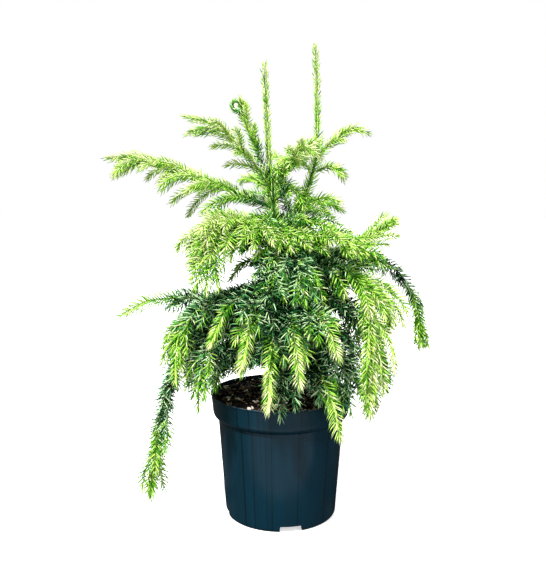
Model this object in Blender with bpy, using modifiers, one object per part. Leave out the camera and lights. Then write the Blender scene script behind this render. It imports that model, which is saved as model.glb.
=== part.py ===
# A young cryptomeria in a round nursery pot, for Blender 4.5.
# Metres, +Z up. The origin is the centre of the pot's underside, and -Y is the side that faces the viewer.
# The pot is turned from a profile. The trunk, the second stem and the boughs are tapering curves.
# Each mass of foliage is one stem with side twigs, and every one of them is a slim core with needles.

import math
import random
from collections import namedtuple

import bmesh
import bpy
from mathutils import Matrix, Vector
from mathutils.bvhtree import BVHTree

# Pot
POT_HEIGHT = 0.168
RIM_RADIUS = 0.095
RIM_HEIGHT = 0.022
RIM_TAPER = 0.0025
SHOULDER_HEIGHT = 0.012
BODY_TOP_RADIUS = 0.0850
BODY_FOOT_RADIUS = 0.0757
CORNER = 0.005
WALL = 0.0015
FOOT_WIDTH = 0.004
FLOOR_LIFT = 0.0085
FLOOR_THICKNESS = 0.0025
CENTRE_PAD_RADIUS = 0.018
POT_SEGMENTS = 30
NOTCHES = 4
NOTCH_WIDTH = 0.036
NOTCH_TOP_WIDTH = 0.029
NOTCH_HEIGHT = 0.0080
NOTCH_DEPTH = 0.030
NOTCH_FIRST_AZIMUTH = -80.0
RIM_FOOT = POT_HEIGHT - RIM_HEIGHT
RIM_FOOT_RADIUS = RIM_RADIUS - RIM_TAPER
SHOULDER_FOOT = RIM_FOOT - SHOULDER_HEIGHT
FLOOR_TOP = FLOOR_LIFT + FLOOR_THICKNESS

# Soil
SOIL_DEPTH = 0.010
SOIL_CROWN = 0.002
SOIL_FLAT_RADIUS = 0.025
GAP = 0.0003

# Trunk and second stem
TRUNK_HEIGHT = 0.305
TRUNK_FOOT_X = 0.003
TRUNK_LEAN = 0.035
TRUNK_BEND = 0.07
TRUNK_RADIUS = 0.0052
TRUNK_TIP_RADIUS = 0.0018
FLARE = 0.0035
FLARE_HEIGHT = 0.012
SECOND_STEM_HEIGHT = 0.358
SECOND_STEM_REACH = 0.054
SECOND_STEM_RISE = 0.148
SECOND_STEM_RADIUS = 0.0026
SECOND_STEM_TIP_RADIUS = 0.0016
LEADER = 0.136
SECOND_LEADER = 0.120

# Boughs and twigs
BOUGH_RADIUS = 0.0026
BOUGH_STEPS = 5
CORE_RADIUS = 0.0020
TWIG_RADIUS = 0.0017
TIP_RADIUS = 0.0009
STEM_BARE = 0.018
TWIG_BARE = 0.007
BOUGH_END_BARE = 0.002
NEEDLE_REACH = 0.0110
NEEDLE_FORWARD = 0.0150
NEEDLE_STEP = 0.0078
LEADER_REACH = 0.0048
LEADER_FORWARD = 0.0120
TIP_SPIKE = 0.006
TIP_SLIMMING = 0.45
SIDES = 3
SPREAD = 48.0
SPREAD_CHANGE = 8.0
TWIG_DROOP = 0.28
TWIG_SHRINK = 0.45
TWIGGED_SHARE = 0.86
FIRST_TWIG = 0.35
TRIES = 7
SPARE = 0.0006
SEED = 11

UP = Vector((0.0, 0.0, 1.0))
LEADER_HEADING = Vector((-0.045, 0.0, 1.0))
TRUNK_FOOT = POT_HEIGHT - SOIL_DEPTH + SOIL_CROWN + GAP

# height: where the limb leaves its stem, above the pot's foot. azimuth: 0 is right, 270 is towards the viewer.
# reach: how far out its tip lies. shoulder and swing: how far out and to the side it arches, as shares of the reach.
# rise and tip: how far the arch's control point and the tip lie above its start. bough: the share that is bare.
# twigs and length: how many side twigs it has, and how long the first ones are.
Limb = namedtuple("Limb", "name stem height azimuth reach shoulder swing rise tip bough twigs length")
LIMBS = (
    Limb("crown_curl", "trunk", 0.453, 195, 0.039, 0.7, -0.1, 0.050, 0.096, 0.0, 2, 0.028),
    Limb("crown_left", "trunk", 0.440, 201, 0.109, 0.4, 0.05, 0.070, 0.090, 0.0, 4, 0.042),
    Limb("crown_front", "trunk", 0.448, 295, 0.087, 0.6, 0.2, 0.035, 0.050, 0.0, 4, 0.040),
    Limb("crown_right", "second_stem", 0.478, 355, 0.070, 0.6, 0.0, 0.040, 0.034, 0.0, 3, 0.038),
    Limb("crown_back", "trunk", 0.432, 80, 0.100, 0.6, 0.0, 0.050, 0.045, 0.0, 4, 0.040),
    Limb("spur_right", "second_stem", 0.420, 345, 0.062, 0.6, 0.1, 0.014, 0.006, 0.0, 2, 0.026),
    Limb("arch_inner", "trunk", 0.425, 320, 0.050, 0.8, 0.0, 0.028, -0.002, 0.0, 2, 0.024),
    Limb("high_left", "trunk", 0.417, 180, 0.218, 0.58, -0.18, 0.046, 0.065, 0.25, 6, 0.072),
    Limb("high_back", "trunk", 0.405, 92, 0.150, 0.6, 0.1, 0.060, 0.035, 0.25, 4, 0.058),
    Limb("high_back_right", "trunk", 0.385, 42, 0.150, 0.6, 0.1, 0.055, 0.020, 0.25, 4, 0.058),
    Limb("shawl_left", "trunk", 0.380, 218, 0.145, 0.86, -0.2, 0.044, -0.034, 0.25, 5, 0.054),
    Limb("shawl_front", "trunk", 0.372, 240, 0.128, 0.84, -0.12, 0.030, -0.052, 0.0, 4, 0.044),
    Limb("mid_right", "trunk", 0.350, 326, 0.118, 0.72, 0.14, 0.052, 0.010, 0.25, 4, 0.048),
    Limb("mid_back_left", "trunk", 0.362, 132, 0.165, 0.7, 0.0, 0.055, -0.010, 0.25, 4, 0.060),
    Limb("high_right", "trunk", 0.344, 6, 0.162, 0.65, 0.12, 0.004, 0.055, 0.30, 4, 0.046),
    Limb("far_right", "trunk", 0.336, 18, 0.230, 0.91, 0.16, 0.064, -0.118, 0.30, 4, 0.042),
    Limb("fall_right", "trunk", 0.330, 318, 0.156, 0.93, 0.36, 0.068, -0.162, 0.20, 5, 0.058),
    Limb("fall_right_outer", "trunk", 0.312, 343, 0.165, 1.05, 0.08, 0.034, -0.046, 0.25, 4, 0.048),
    Limb("mid_back", "trunk", 0.316, 72, 0.180, 0.8, -0.1, 0.055, -0.066, 0.25, 4, 0.056),
    Limb("inner_left", "trunk", 0.340, 188, 0.110, 0.6, 0.0, 0.020, -0.030, 0.0, 3, 0.044),
    Limb("inner_front", "trunk", 0.350, 266, 0.100, 0.7, 0.05, 0.024, -0.040, 0.0, 3, 0.042),
    Limb("inner_front_right", "trunk", 0.368, 290, 0.105, 0.7, 0.0, 0.014, -0.060, 0.0, 3, 0.044),
    Limb("reach_left", "trunk", 0.304, 172, 0.224, 0.60, -0.12, 0.010, -0.036, 0.30, 5, 0.058),
    Limb("low_left_bright", "trunk", 0.300, 216, 0.166, 1.0, -0.12, 0.020, -0.092, 0.0, 4, 0.046),
    Limb("trail_left", "trunk", 0.288, 197, 0.194, 0.86, -0.12, 0.030, -0.244, 0.25, 5, 0.064),
    Limb("front_left", "trunk", 0.306, 235, 0.140, 0.77, 0.11, 0.024, -0.045, 0.0, 3, 0.044),
    Limb("front_mid_left", "trunk", 0.326, 254, 0.154, 0.81, 0.10, 0.006, -0.088, 0.0, 3, 0.046),
    Limb("front_long", "trunk", 0.274, 264, 0.140, 0.92, 0.04, 0.044, -0.097, 0.0, 4, 0.042),
    Limb("front_mid", "trunk", 0.300, 279, 0.151, 0.82, -0.05, 0.016, -0.084, 0.0, 3, 0.044),
    Limb("front_mid_right", "trunk", 0.286, 295, 0.157, 0.82, -0.08, 0.026, -0.033, 0.0, 3, 0.046),
    Limb("rim_right", "trunk", 0.262, 304, 0.149, 0.73, -0.04, -0.014, -0.122, 0.0, 4, 0.046),
    Limb("low_back_left", "trunk", 0.282, 142, 0.175, 0.8, 0.1, 0.030, -0.080, 0.0, 4, 0.054),
    Limb("low_back", "trunk", 0.266, 98, 0.150, 0.8, 0.0, 0.030, -0.075, 0.0, 4, 0.050),
    Limb("low_back_right", "trunk", 0.282, 38, 0.155, 0.8, 0.0, 0.030, -0.085, 0.0, 4, 0.050),
    Limb("low_right_dark", "trunk", 0.294, 358, 0.112, 0.6, 0.0, -0.010, -0.082, 0.0, 3, 0.042),
    Limb("low_right", "trunk", 0.258, 328, 0.121, 0.61, 0.06, -0.008, -0.070, 0.0, 3, 0.040),
    Limb("low_left_inner", "trunk", 0.268, 212, 0.129, 0.69, -0.1, -0.010, -0.082, 0.0, 4, 0.044),
    Limb("low_left_rim", "trunk", 0.254, 178, 0.090, 0.7, 0.0, -0.002, -0.080, 0.0, 3, 0.038),
)


def clear_scene():
    for obj in list(bpy.data.objects):
        bpy.data.objects.remove(obj, do_unlink=True)


def new_collection(name):
    collection = bpy.data.collections.new(name)
    bpy.context.scene.collection.children.link(collection)
    return collection


def make_material(name, color, roughness):
    material = bpy.data.materials.new(name)
    material.use_nodes = True
    shader = material.node_tree.nodes["Principled BSDF"]
    shader.inputs["Base Color"].default_value = (*color, 1.0)
    shader.inputs["Roughness"].default_value = roughness
    shader.inputs["Metallic"].default_value = 0.0
    return material


def turned(name, profile, collection, material):
    """A solid of revolution, from (radius, height) pairs that run down its outer side."""
    mesh = bpy.data.meshes.new(name)
    points = [(radius, 0.0, height) for radius, height in profile]
    mesh.from_pydata(points, [(i, i + 1) for i in range(len(points) - 1)], [])
    obj = bpy.data.objects.new(name, mesh)
    collection.objects.link(obj)
    screw = obj.modifiers.new("Turn", "SCREW")
    screw.steps = POT_SEGMENTS
    screw.render_steps = POT_SEGMENTS
    screw.use_merge_vertices = True
    screw.use_smooth_shade = False
    screw.merge_threshold = 0.00005
    mesh.materials.append(material)
    return obj


def inner_radius(height):
    """The pot's inner wall: a straight body, a shoulder and a straight rim."""
    if height <= SHOULDER_FOOT:
        share = (height - CORNER) / (SHOULDER_FOOT - CORNER)
        return BODY_FOOT_RADIUS + share * (BODY_TOP_RADIUS - BODY_FOOT_RADIUS) - WALL
    if height <= RIM_FOOT:
        share = (height - SHOULDER_FOOT) / SHOULDER_HEIGHT
        return BODY_TOP_RADIUS + share * (RIM_FOOT_RADIUS - BODY_TOP_RADIUS) - WALL
    return RIM_FOOT_RADIUS + (height - RIM_FOOT) / RIM_HEIGHT * RIM_TAPER - WALL


def make_pot(collection, material, cutters):
    lip = WALL / 2
    foot_outer = BODY_FOOT_RADIUS - CORNER * 0.7
    foot_inner = foot_outer - FOOT_WIDTH
    profile = [
        (0.0, FLOOR_TOP),
        (inner_radius(FLOOR_TOP), FLOOR_TOP),
        (inner_radius(SHOULDER_FOOT), SHOULDER_FOOT),
        (inner_radius(RIM_FOOT), RIM_FOOT),
        (RIM_RADIUS - WALL, POT_HEIGHT - lip / 2),
        (RIM_RADIUS - lip, POT_HEIGHT),
        (RIM_RADIUS, POT_HEIGHT - lip),
        (RIM_FOOT_RADIUS, RIM_FOOT),
        (RIM_FOOT_RADIUS - 0.0025, RIM_FOOT - SHOULDER_HEIGHT * 0.45),
        (BODY_TOP_RADIUS + 0.0015, SHOULDER_FOOT + 0.002),
        (BODY_TOP_RADIUS, SHOULDER_FOOT),
        (BODY_FOOT_RADIUS, CORNER),
        (BODY_FOOT_RADIUS - CORNER * 0.3, CORNER * 0.3),
        (foot_outer, 0.0),
        (foot_inner, 0.0),
        (foot_inner - 0.0015, FLOOR_LIFT),
        (CENTRE_PAD_RADIUS + 0.002, FLOOR_LIFT),
        (CENTRE_PAD_RADIUS, 0.0),
        (0.0, 0.0),
    ]
    pot = turned("pot", profile, collection, material)
    for i in range(NOTCHES):
        azimuth = math.radians(NOTCH_FIRST_AZIMUTH + i * 360.0 / NOTCHES)
        cut = pot.modifiers.new(f"Notch {i}", "BOOLEAN")
        cut.operation = "DIFFERENCE"
        cut.object = notch_cutter(f"notch_cutter_{i}", azimuth, cutters)


def notch_cutter(name, azimuth, collection):
    """A trapezoid bar that crosses the foot ring. It is widest just below the ground."""
    below = 0.002
    mesh = bpy.data.meshes.new(name)
    bm = bmesh.new()
    bmesh.ops.create_cube(bm, size=1.0)
    for vert in bm.verts:
        at_top = vert.co.z > 0
        flare = (NOTCH_WIDTH - NOTCH_TOP_WIDTH) * (1 + below / NOTCH_HEIGHT)
        width = NOTCH_TOP_WIDTH if at_top else NOTCH_TOP_WIDTH + flare
        vert.co = (vert.co.x * NOTCH_DEPTH, vert.co.y * width, NOTCH_HEIGHT if at_top else -below)
    bm.to_mesh(mesh)
    bm.free()
    cutter = bpy.data.objects.new(name, mesh)
    cutter.location = (BODY_FOOT_RADIUS * math.cos(azimuth), BODY_FOOT_RADIUS * math.sin(azimuth), 0.0)
    cutter.rotation_euler = (0.0, 0.0, azimuth)
    cutter.hide_render = True
    cutter.display_type = "WIRE"
    collection.objects.link(cutter)
    return cutter


def make_soil(collection, material):
    """Soil that fills the pot to just under its rim, with a hair of room along the wall."""
    top = POT_HEIGHT - SOIL_DEPTH
    floor = FLOOR_TOP + GAP
    room = 1.2 * GAP
    profile = [
        (0.0, top + SOIL_CROWN),
        (SOIL_FLAT_RADIUS, top + SOIL_CROWN),
        (inner_radius(top) - room, top),
        (inner_radius(RIM_FOOT) - room, RIM_FOOT),
        (inner_radius(SHOULDER_FOOT) - room, SHOULDER_FOOT),
        (inner_radius(floor) - room, floor),
        (0.0, floor),
    ]
    turned("soil", profile, collection, material)


def trunk_point(height):
    """The trunk's middle at a height above the pot's foot."""
    above = height - TRUNK_FOOT
    return Vector((TRUNK_FOOT_X - TRUNK_LEAN * above - TRUNK_BEND * above**2, 0.0, height))


def trunk_radius(height):
    above = height - TRUNK_FOOT
    share = above / TRUNK_HEIGHT
    taper = TRUNK_RADIUS + (TRUNK_TIP_RADIUS - TRUNK_RADIUS) * share
    return taper + FLARE * math.exp(-above / FLARE_HEIGHT)


def arc(start, control, end, share):
    """A point on the quadratic curve that starts towards its control point."""
    return start * (1 - share) ** 2 + control * 2 * share * (1 - share) + end * share**2


def second_stem_point(share):
    start = trunk_point(SECOND_STEM_HEIGHT)
    control = start + Vector((SECOND_STEM_REACH, -0.010, SECOND_STEM_RISE * 0.6))
    end = start + Vector((SECOND_STEM_REACH, 0.0, SECOND_STEM_RISE))
    return arc(start, control, end, share)


def stem_point(stem, height):
    """The middle of the trunk or of the second stem at a height."""
    if stem == "trunk":
        return trunk_point(height)
    shares = [i / 60 for i in range(61)]
    return min((second_stem_point(s) for s in shares), key=lambda p: abs(p.z - height))


def limb_line(limb, steps=48):
    """The points of a limb from its stem's middle to its tip."""
    start = stem_point(limb.stem, limb.height)
    azimuth = math.radians(limb.azimuth)
    out = Vector((math.cos(azimuth), math.sin(azimuth), 0.0))
    side = UP.cross(out)
    control = start + limb.reach * (limb.shoulder * out + limb.swing * side) + limb.rise * UP
    end = start + limb.reach * out + limb.tip * UP
    return [arc(start, control, end, i / steps) for i in range(steps + 1)]


def length_of(line):
    return sum((b - a).length for a, b in zip(line, line[1:]))


def point_along(line, distance):
    """The point at a distance along a line, and the line's direction there. It runs on past the end."""
    left = distance
    for a, b in zip(line, line[1:]):
        step = (b - a).length
        if left <= step or b is line[-1]:
            direction = (b - a) / step
            return a + direction * left, direction
        left -= step
    return line[-1], (line[-1] - line[-2]).normalized()


def part_of(line, start, end, steps):
    """The stretch of a line between two distances, as evenly spaced points."""
    return [point_along(line, start + (end - start) * i / steps)[0] for i in range(steps + 1)]


def tapered_tube(name, line, radii, collection, material, sides_level=1):
    """A round limb as a curve whose radius changes along it."""
    curve = bpy.data.curves.new(name, "CURVE")
    curve.dimensions = "3D"
    curve.bevel_depth = 1.0
    curve.bevel_resolution = sides_level
    curve.use_fill_caps = True
    spline = curve.splines.new("POLY")
    spline.points.add(len(line) - 1)
    for point, co, radius in zip(spline.points, line, radii):
        point.co = (*co, 1.0)
        point.radius = radius
    obj = bpy.data.objects.new(name, curve)
    collection.objects.link(obj)
    curve.materials.append(material)
    return obj


def make_trunk(collection, material):
    """The trunk stands a hair above the soil, with its foot flared and cut level."""
    shares = (0, 0.02, 0.05, 0.1, 0.2, 0.35, 0.5, 0.65, 0.8, 0.9, 1.0)
    line = [trunk_point(TRUNK_FOOT + TRUNK_HEIGHT * share) for share in shares]
    radii = [trunk_radius(point.z) for point in line]
    line[0] = Vector((line[1].x, line[1].y, line[0].z))
    tapered_tube("trunk", line, radii, collection, material, 4)
    return line, radii


def make_second_stem(collection, material, trunk_tree):
    """A slender stem that forks from the trunk, bends outwards and then stands upright beside it."""
    steps = 14
    whole = [second_stem_point(i / 40) for i in range(41)]
    start = clear_start(whole, SECOND_STEM_RADIUS, trunk_tree, 8)
    line = part_of(whole, start, length_of(whole), steps)
    radii = [SECOND_STEM_RADIUS + (SECOND_STEM_TIP_RADIUS - SECOND_STEM_RADIUS) * i / steps for i in range(steps + 1)]
    tapered_tube("second_stem", line, radii, collection, material)
    return line, radii


def tube_tree(line, radii, sides=6):
    """A search tree of a limb's surface, for clearance tests."""
    verts, faces = [], []
    for i, (co, radius) in enumerate(zip(line, radii)):
        direction = (line[min(i + 1, len(line) - 1)] - line[max(i - 1, 0)]).normalized()
        across = direction.orthogonal().normalized()
        for j in range(sides):
            turn = Matrix.Rotation(2 * math.pi * j / sides, 3, direction)
            verts.append(co + turn @ across * radius)
    for i in range(len(line) - 1):
        for j in range(sides):
            a, b = i * sides + j, i * sides + (j + 1) % sides
            faces.append((a, b, b + sides, a + sides))
    return BVHTree.FromPolygons(verts, faces)


def clear_start(line, radius, tree, corners, roll=0.0, step=0.0001):
    """How far along a limb its flat end first stands clear of the stem that it grows from."""
    distance = 0.0
    while distance < 0.05:
        middle, direction = point_along(line, distance)
        across = direction.orthogonal().normalized() * radius
        turns = [roll + 2 * math.pi * i / corners for i in range(corners)]
        rim = [middle + Matrix.Rotation(turn, 3, direction) @ across for turn in turns]
        rim += [(a + b) / 2 for a, b in zip(rim, rim[1:] + rim[:1])]
        hits = [tree.find_nearest(point) for point in rim]
        if all((point - hit[0]).dot(hit[1]) >= GAP for point, hit in zip(rim, hits)):
            return distance
        distance += step
    return distance


class Shoot:
    """A twig with its needles: its line, its core's radius, and how far the needles stand out and forward."""

    def __init__(self, line, radius, reach, forward, roll, bare):
        self.line = line
        self.length = length_of(line)
        self.radius = radius
        self.reach = reach
        self.forward = forward
        self.roll = roll
        self.bare = bare

    def geometry(self, spare=0.0):
        """A three-sided core. Past its bare foot, one corner in turn is drawn out and forward as a needle."""
        needled = self.length - self.bare - TIP_SPIKE
        steps = max(4, round(needled / NEEDLE_STEP))
        rings = [[(0.0, self.radius)] * SIDES]
        for i in range(steps + 1):
            foot = self.bare + needled * i / steps
            share = foot / self.length
            core = self.radius + (TIP_RADIUS - self.radius) * share
            size = 1.0 - TIP_SLIMMING * share**3
            ring = [(foot, core)] * SIDES
            if i > 0:
                ring[i % SIDES] = (foot + self.forward * size, self.reach * size)
            rings.append(ring)
        points, faces = [], []
        across = point_along(self.line, 0.0)[1].orthogonal()
        for ring in rings:
            for corner, (along, out) in enumerate(ring):
                middle, direction = point_along(self.line, along)
                across = (across - direction * across.dot(direction)).normalized()
                angle = self.roll + corner * 2 * math.pi / SIDES
                points.append(middle + Matrix.Rotation(angle, 3, direction) @ across * (out + spare))
        for i in range(len(rings) - 1):
            for corner in range(SIDES):
                a = i * SIDES + corner
                b = i * SIDES + (corner + 1) % SIDES
                c, d = b + SIDES, a + SIDES
                if (i - 1) % SIDES == corner:
                    faces += [(a, b, d), (b, c, d)]
                else:
                    faces += [(a, b, c), (a, c, d)]
        points.append(point_along(self.line, self.length + spare)[0])
        last = (len(rings) - 1) * SIDES
        for corner in range(SIDES):
            faces.append((last + corner, last + (corner + 1) % SIDES, len(points) - 1))
        faces.append(tuple(reversed(range(SIDES))))
        return points, faces

    def tree(self, spare=0.0):
        points, faces = self.geometry(spare)
        return BVHTree.FromPolygons(points, faces)

    def as_object(self, name, collection):
        points, faces = self.geometry()
        mesh = bpy.data.meshes.new(name)
        bm = bmesh.new()
        verts = [bm.verts.new(p) for p in points]
        for face in faces:
            bm.faces.new([verts[i] for i in face])
        bmesh.ops.recalc_face_normals(bm, faces=bm.faces)
        bmesh.ops.triangulate(bm, faces=bm.faces)
        bm.to_mesh(mesh)
        bm.free()
        obj = bpy.data.objects.new(name, mesh)
        collection.objects.link(obj)
        return obj


def twig_line(stem, distance, side, spread, length, droop, lift):
    """A side twig: it leaves the stem to one side, leaning forward, and then bends down under its weight."""
    start, direction = point_along(stem, distance)
    level = direction.cross(UP)
    if level.length < 0.2:
        level = Vector((direction.y, -direction.x, 0.0)) + Vector((0.3, 0.3, 0.0))
    level.normalize()
    normal = level.cross(direction).normalized()
    heading = Matrix.Rotation(side * spread, 3, normal) @ direction
    heading = (heading + normal * lift).normalized()
    line = []
    for i in range(7):
        run = length * i / 6
        line.append(start + heading * run - UP * droop * length * (i / 6) ** 2)
    return line


def touches(shoot, trees):
    tree = shoot.tree(SPARE)
    return any(tree.overlap(other) for other in trees)


def join_shoots(name, shoots, collection, material):
    """One closed mesh of a stem and its twigs, by a Boolean union on a collection."""
    loose = new_collection(name + "_twigs")
    stem = shoots[0].as_object(name, collection)
    for i, shoot in enumerate(shoots[1:]):
        shoot.as_object(f"{name}_twig_{i}", loose)
    if len(shoots) > 1:
        union = stem.modifiers.new("Union", "BOOLEAN")
        union.operation = "UNION"
        union.operand_type = "COLLECTION"
        union.collection = loose
        graph = bpy.context.evaluated_depsgraph_get()
        joined = bpy.data.meshes.new_from_object(stem.evaluated_get(graph))
        stem.modifiers.clear()
        stem.data = joined
    for obj in list(loose.objects):
        bpy.data.objects.remove(obj, do_unlink=True)
    bpy.data.collections.remove(loose)
    stem.data.materials.clear()
    stem.data.materials.append(material)
    return stem


def pot_tree():
    """A search tree of the pot's and the soil's surfaces, so that no twig dips into them."""
    graph = bpy.context.evaluated_depsgraph_get()
    verts, faces = [], []
    for name in ("pot", "soil"):
        mesh = bpy.data.objects[name].evaluated_get(graph).to_mesh()
        first = len(verts)
        verts += [vert.co.copy() for vert in mesh.vertices]
        faces += [[first + i for i in polygon.vertices] for polygon in mesh.polygons]
    return BVHTree.FromPolygons(verts, faces)


def make_limb(limb, collection, material, stem_trees, roll):
    """A limb's line, cut where it stands clear of its stem, with its bare part made as a bough."""
    line = limb_line(limb)
    whole = length_of(line)
    if not limb.bough:
        start = clear_start(line, CORE_RADIUS, stem_trees[limb.stem], SIDES, roll)
        return part_of(line, start, whole, 24), None
    radius = BOUGH_RADIUS * (0.7 + 0.3 * min(1.0, whole / 0.25))
    start = clear_start(line, radius, stem_trees[limb.stem], 8)
    end = whole * limb.bough
    bough = part_of(line, start, end, BOUGH_STEPS)
    radii = [radius + (CORE_RADIUS - radius) * i / BOUGH_STEPS for i in range(BOUGH_STEPS + 1)]
    tapered_tube("bough_" + limb.name, bough, radii, collection, material)
    return part_of(line, end + GAP, whole, 24), tube_tree(bough, radii)


def make_leader(stem, length, radius):
    """The top of a stem, with short needles pressed along it. It carries on from the stem and then stands upright."""
    direction = (stem[-1] - stem[-2]).normalized()
    start = stem[-1] + direction * GAP
    end = start + (direction * 0.3 + LEADER_HEADING * 0.7) * length
    line = [arc(start, start + direction * length / 2, end, i / 12) for i in range(13)]
    return Shoot(line, radius, LEADER_REACH, LEADER_FORWARD, 0.3, TWIG_BARE)


def report_touching(limb_trees, masses):
    """Names the limbs and stems that touch each other, so that the table of limbs can be mended."""
    stems = {name: shoots[0].tree(SPARE) for name, shoots in masses.items()}
    trees = [(name + " limb", tree) for name, tree in limb_trees.items()]
    trees += [(name + " stem", tree) for name, tree in stems.items()]
    for i, (name, tree) in enumerate(trees):
        for other, other_tree in trees[i + 1:]:
            if tree.overlap(other_tree):
                print("touching:", name, "and", other)


def grow_twigs(masses, lines, obstacles, rng):
    """Side twigs to the left and right in turn, shorter towards the tip. One that would touch anything is skipped."""
    trees = {name: [shoots[0].tree()] for name, shoots in masses.items()}
    for limb in LIMBS:
        stem = lines[limb.name]
        whole = length_of(stem)
        for i in range(limb.twigs):
            share = (i + FIRST_TWIG) / limb.twigs
            side = -1 if i % 2 else 1
            for attempt in range(TRIES):
                wide = attempt / TRIES
                spread = math.radians(SPREAD + rng.uniform(-SPREAD_CHANGE, SPREAD_CHANGE) * (1 + wide))
                length = limb.length * (1 - TWIG_SHRINK * share) * (1 - 0.35 * wide) * rng.uniform(0.9, 1.1)
                lift = rng.uniform(-0.2, 0.25) * (1 + 2 * wide)
                droop = TWIG_DROOP * rng.uniform(0.6, 1.4)
                distance = whole * (share * TWIGGED_SHARE + rng.uniform(-0.02, 0.02)) + 0.003
                line = twig_line(stem, distance, side, spread, length, droop, lift)
                roll = rng.uniform(0, 2 * math.pi)
                shoot = Shoot(line, TWIG_RADIUS, NEEDLE_REACH, NEEDLE_FORWARD, roll, TWIG_BARE)
                others = [t for name, group in trees.items() if name != limb.name for t in group]
                if not touches(shoot, obstacles + others):
                    masses[limb.name].append(shoot)
                    trees[limb.name].append(shoot.tree())
                    break


def main():
    clear_scene()
    plant = new_collection("cryptomeria")
    cutters = new_collection("cutters")
    cutters.hide_render = True
    pot_plastic = make_material("pot_plastic", (0.012, 0.040, 0.065), 0.35)
    soil_bark = make_material("soil_bark", (0.045, 0.028, 0.018), 0.95)
    bark = make_material("bark", (0.16, 0.11, 0.06), 0.85)
    foliage = make_material("foliage", (0.16, 0.36, 0.05), 0.55)

    make_pot(plant, pot_plastic, cutters)
    make_soil(plant, soil_bark)
    trunk_line, trunk_radii = make_trunk(plant, bark)
    trunk_tree = tube_tree(trunk_line, trunk_radii, 12)
    stem_line, stem_radii = make_second_stem(plant, bark, trunk_tree)
    limb_trees = {"trunk": trunk_tree, "second_stem": tube_tree(stem_line, stem_radii)}

    rng = random.Random(SEED)
    masses = {
        "leader": [make_leader(trunk_line, LEADER, TRUNK_TIP_RADIUS)],
        "second_leader": [make_leader(stem_line, SECOND_LEADER, SECOND_STEM_TIP_RADIUS)],
    }
    lines = {}
    stem_trees = dict(limb_trees)
    for limb in LIMBS:
        roll = rng.uniform(0, 2 * math.pi)
        lines[limb.name], tree = make_limb(limb, plant, bark, stem_trees, roll)
        if tree:
            limb_trees[limb.name] = tree
        bare = BOUGH_END_BARE if limb.bough else STEM_BARE
        stem = Shoot(lines[limb.name], CORE_RADIUS, NEEDLE_REACH, NEEDLE_FORWARD, roll, bare)
        masses[limb.name] = [stem]
    report_touching(limb_trees, masses)
    grow_twigs(masses, lines, list(limb_trees.values()) + [pot_tree()], rng)
    for name, shoots in masses.items():
        join_shoots("foliage_" + name, shoots, plant, foliage)


main()
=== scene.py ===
import math
import random

import bpy
import numpy as np
from mathutils import Matrix, Vector, noise


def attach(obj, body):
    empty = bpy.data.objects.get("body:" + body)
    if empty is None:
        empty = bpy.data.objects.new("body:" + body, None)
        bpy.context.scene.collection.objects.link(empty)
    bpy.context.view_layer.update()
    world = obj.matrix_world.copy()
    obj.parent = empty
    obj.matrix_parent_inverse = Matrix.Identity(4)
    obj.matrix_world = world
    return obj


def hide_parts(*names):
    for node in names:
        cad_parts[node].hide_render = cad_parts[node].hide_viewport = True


# Looks for the potted cryptomeria. Metres, +Z up, the viewer stands on the -Y side.

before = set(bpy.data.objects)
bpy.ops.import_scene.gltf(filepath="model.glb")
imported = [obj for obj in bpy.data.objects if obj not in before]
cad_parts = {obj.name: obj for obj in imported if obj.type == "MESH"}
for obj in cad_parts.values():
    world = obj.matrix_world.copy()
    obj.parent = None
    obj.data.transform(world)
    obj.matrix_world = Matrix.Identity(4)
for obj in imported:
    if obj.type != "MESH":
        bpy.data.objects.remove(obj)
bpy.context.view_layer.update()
nodeNames = list(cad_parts)
print("frame loaded with", len(nodeNames), "nodes")


def mixed(low, high, share):
    return low + (high - low) * share


def clearSelection():
    if bpy.context.mode != "OBJECT":
        bpy.ops.object.mode_set(mode="OBJECT")
    bpy.ops.object.select_all(action="DESELECT")


def makeActive(obj):
    clearSelection()
    obj.select_set(True)
    bpy.context.view_layer.objects.active = obj


def editAll(obj):
    # into edit mode with everything chosen
    makeActive(obj)
    bpy.ops.object.mode_set(mode="EDIT")
    bpy.ops.mesh.select_all(action="SELECT")


def editWhere(obj, test):
    # into edit mode with the vertices chosen whose place passes a test
    editAll(obj)
    bpy.ops.mesh.select_all(action="DESELECT")
    bpy.ops.object.mode_set(mode="OBJECT")
    for vert in obj.data.vertices:
        vert.select = test(vert.co)
    bpy.ops.object.mode_set(mode="EDIT")


def closeMesh():
    # faces turned outwards, and out of edit mode
    bpy.ops.mesh.select_all(action="SELECT")
    bpy.ops.mesh.normals_make_consistent(inside=False)
    bpy.ops.object.mode_set(mode="OBJECT")


def putAtOrigin(obj):
    makeActive(obj)
    bpy.ops.object.transform_apply(location=True, rotation=True, scale=True)


def addToPart(obj, material, slotName, *nodes):
    # every piece rides on the one body, wears one material and may stand for CAD nodes
    obj.data.materials.clear()
    obj.data.materials.append(material)
    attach(obj, "root")
    if nodes:
        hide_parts(*nodes)


def meshFromArrays(name, verts, faces):
    # verts (n, 3) and faces (m, 3) or (m, 4) as arrays
    mesh = bpy.data.meshes.new(name)
    mesh.vertices.add(len(verts))
    mesh.vertices.foreach_set("co", verts.astype(np.float32).ravel())
    mesh.loops.add(faces.size)
    mesh.loops.foreach_set("vertex_index", faces.astype(np.int32).ravel())
    mesh.polygons.add(len(faces))
    mesh.polygons.foreach_set("loop_start", np.arange(len(faces), dtype=np.int32) * faces.shape[1])
    mesh.update(calc_edges=True)
    mesh.validate()
    obj = bpy.data.objects.new(name, mesh)
    bpy.context.scene.collection.objects.link(obj)
    return obj


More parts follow.
